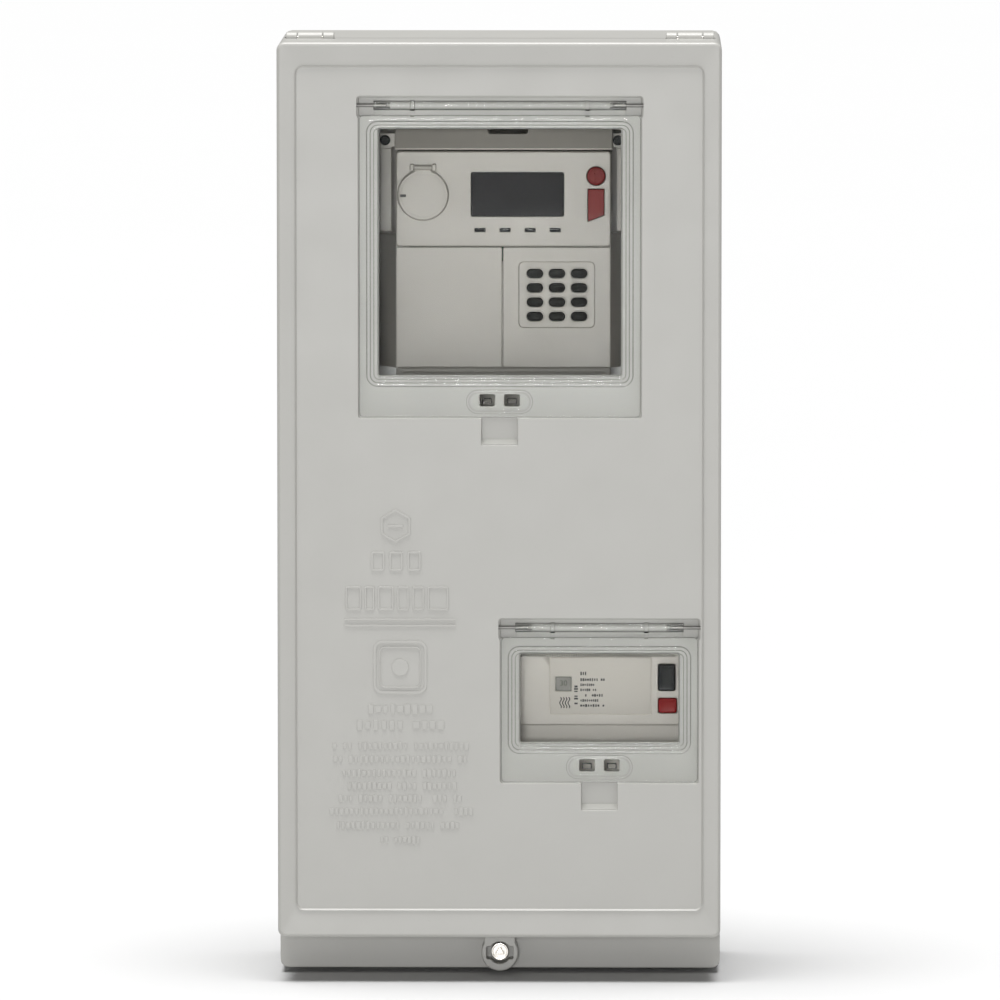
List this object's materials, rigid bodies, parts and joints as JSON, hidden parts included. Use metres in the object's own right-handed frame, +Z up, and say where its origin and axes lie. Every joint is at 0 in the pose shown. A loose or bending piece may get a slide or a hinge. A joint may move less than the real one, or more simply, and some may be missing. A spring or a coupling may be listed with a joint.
{
  "type": "prepaid electricity meter",
  "caption": "Wall enclosure with a hinged front cover and two clear flip-up windows, holding a keypad prepayment electricity meter above a service breaker with on and off buttons.",
  "frame": {"origin": "centre of the enclosure's flat back face, on the wall", "axes": "+X to the viewer's right, +Y into the wall, +Z up; the front faces -Y"},
  "size_m": [0.24, 0.132, 0.5143],
  "materials": {
    "housing": "light grey moulded plastic, fine satin texture",
    "meter_case": "warm grey moulded plastic",
    "clear": "clear moulded polycarbonate",
    "steel": "bright zinc-plated steel",
    "brass": "turned brass",
    "zinc": "zinc-plated sheet",
    "rubber": "black rubber",
    "key_rubber": "black keypad rubber",
    "dark_lens": "smoked glossy lens",
    "black_plastic": "black moulded plastic",
    "red_plastic": "red moulded plastic",
    "circuit": "green solder mask",
    "breaker_case": "off-white moulded plastic",
    "ferrite": "dark ferrite",
    "phase_wire": "brown wire insulation",
    "neutral_wire": "blue wire insulation"
  },
  "bodies": {
    "housing": {"base_housing": "housing", "cover_hinge_pin_left": "steel", "cover_hinge_pin_right": "steel", "lock_insert": "brass", "meter_plate": "zinc", "breaker_rail": "zinc", "cable_grommet_left": "rubber", "cable_grommet_right": "rubber", "meter_base": "meter_case", "meter_front_case": "meter_case", "module_cover": "meter_case", "keypad_bezel": "meter_case", "display_lens": "dark_lens", "lcd_module": "black_plastic", "circuit_board": "circuit", "key_mat": "key_rubber", "optical_port_plate": "steel", "light_pipe": "dark_lens", "red_lens": "red_plastic", "ear_screw_left": "black_plastic", "ear_screw_right": "black_plastic", "terminal_block": "black_plastic", "terminal_cover": "meter_case", "load_relay": "black_plastic", "backup_battery": "zinc", "breaker_body": "breaker_case", "breaker_cover": "breaker_case", "rating_window": "clear", "toroid": "ferrite", "phase_link_wire": "phase_wire", "neutral_link_wire": "neutral_wire"},
    "cover": {"front_cover": "housing", "cover_gasket": "rubber", "upper_window_pin_left": "steel", "upper_window_pin_right": "steel", "lower_window_pin_left": "steel", "lower_window_pin_right": "steel"},
    "lock_screw": {"cover_lock_screw": "steel"},
    "upper_window": {"upper_window": "clear"},
    "lower_window": {"lower_window": "clear"},
    "port_flap": {"optical_port_cover": "meter_case"},
    "on_button": {"on_button": "black_plastic"},
    "off_button": {"off_button": "red_plastic"},
    "seal_plug": {"seal_plug": "red_plastic"},
    "rating_dial": {"rating_dial": "black_plastic"},
    "key_01": {"key_01": "key_rubber"},
    "key_02": {"key_02": "key_rubber"},
    "key_03": {"key_03": "key_rubber"},
    "key_04": {"key_04": "key_rubber"},
    "key_05": {"key_05": "key_rubber"},
    "key_06": {"key_06": "key_rubber"},
    "key_07": {"key_07": "key_rubber"},
    "key_08": {"key_08": "key_rubber"},
    "key_09": {"key_09": "key_rubber"},
    "key_10": {"key_10": "key_rubber"},
    "key_11": {"key_11": "key_rubber"},
    "key_12": {"key_12": "key_rubber"}
  },
  "joints": [
    {"name": "cover_hinge", "type": "hinge", "parent": "housing", "child": "cover", "pos_m": [0, -0.09015, 0.254], "axis": [-1, 0, 0], "range_deg": [0, 100]},
    {"name": "upper_window_hinge", "type": "hinge", "parent": "cover", "child": "upper_window", "pos_m": [0.0004, -0.1284, 0.2198], "axis": [-1, 0, 0], "range_deg": [0, 100]},
    {"name": "lower_window_hinge", "type": "hinge", "parent": "cover", "child": "lower_window", "pos_m": [0.0543, -0.1284, -0.0631], "axis": [-1, 0, 0], "range_deg": [0, 100]},
    {"name": "lock_screw_turn", "type": "hinge", "parent": "cover", "child": "lock_screw", "pos_m": [0, -0.0991, -0.244], "axis": [0, -1, 0], "continuous": true},
    {"name": "port_flap_hinge", "type": "hinge", "parent": "housing", "child": "port_flap", "pos_m": [-0.0419, -0.0892, 0.1838], "axis": [-1, 0, 0], "range_deg": [0, 110]},
    {"name": "on_button_slide", "type": "slide", "parent": "housing", "child": "on_button", "axis": [0, 1, 0], "range_m": [0, 0.004]},
    {"name": "off_button_slide", "type": "slide", "parent": "housing", "child": "off_button", "axis": [0, 1, 0], "range_m": [-0.004, 0]},
    {"name": "seal_plug_turn", "type": "hinge", "parent": "housing", "child": "seal_plug", "pos_m": [0.0521, -0.087, 0.1791], "axis": [0, -1, 0], "range_deg": [0, 90]},
    {"name": "rating_dial_turn", "type": "hinge", "parent": "housing", "child": "rating_dial", "pos_m": [0.0346, -0.087, -0.0908], "axis": [0, -1, 0], "range_deg": [0, 90]},
    {"name": "key_01_press", "type": "slide", "parent": "housing", "child": "key_01", "axis": [0, 1, 0], "range_m": [0, 0.001], "stiffness_N_per_m": 600},
    {"name": "key_02_press", "type": "slide", "parent": "housing", "child": "key_02", "axis": [0, 1, 0], "range_m": [0, 0.001], "stiffness_N_per_m": 600},
    {"name": "key_03_press", "type": "slide", "parent": "housing", "child": "key_03", "axis": [0, 1, 0], "range_m": [0, 0.001], "stiffness_N_per_m": 600},
    {"name": "key_04_press", "type": "slide", "parent": "housing", "child": "key_04", "axis": [0, 1, 0], "range_m": [0, 0.001], "stiffness_N_per_m": 600},
    {"name": "key_05_press", "type": "slide", "parent": "housing", "child": "key_05", "axis": [0, 1, 0], "range_m": [0, 0.001], "stiffness_N_per_m": 600},
    {"name": "key_06_press", "type": "slide", "parent": "housing", "child": "key_06", "axis": [0, 1, 0], "range_m": [0, 0.001], "stiffness_N_per_m": 600},
    {"name": "key_07_press", "type": "slide", "parent": "housing", "child": "key_07", "axis": [0, 1, 0], "range_m": [0, 0.001], "stiffness_N_per_m": 600},
    {"name": "key_08_press", "type": "slide", "parent": "housing", "child": "key_08", "axis": [0, 1, 0], "range_m": [0, 0.001], "stiffness_N_per_m": 600},
    {"name": "key_09_press", "type": "slide", "parent": "housing", "child": "key_09", "axis": [0, 1, 0], "range_m": [0, 0.001], "stiffness_N_per_m": 600},
    {"name": "key_10_press", "type": "slide", "parent": "housing", "child": "key_10", "axis": [0, 1, 0], "range_m": [0, 0.001], "stiffness_N_per_m": 600},
    {"name": "key_11_press", "type": "slide", "parent": "housing", "child": "key_11", "axis": [0, 1, 0], "range_m": [0, 0.001], "stiffness_N_per_m": 600},
    {"name": "key_12_press", "type": "slide", "parent": "housing", "child": "key_12", "axis": [0, 1, 0], "range_m": [0, 0.001], "stiffness_N_per_m": 600}
  ],
  "couplings": [
    {"joint": "off_button_slide", "follows": "on_button_slide", "ratio": -1}
  ]
}
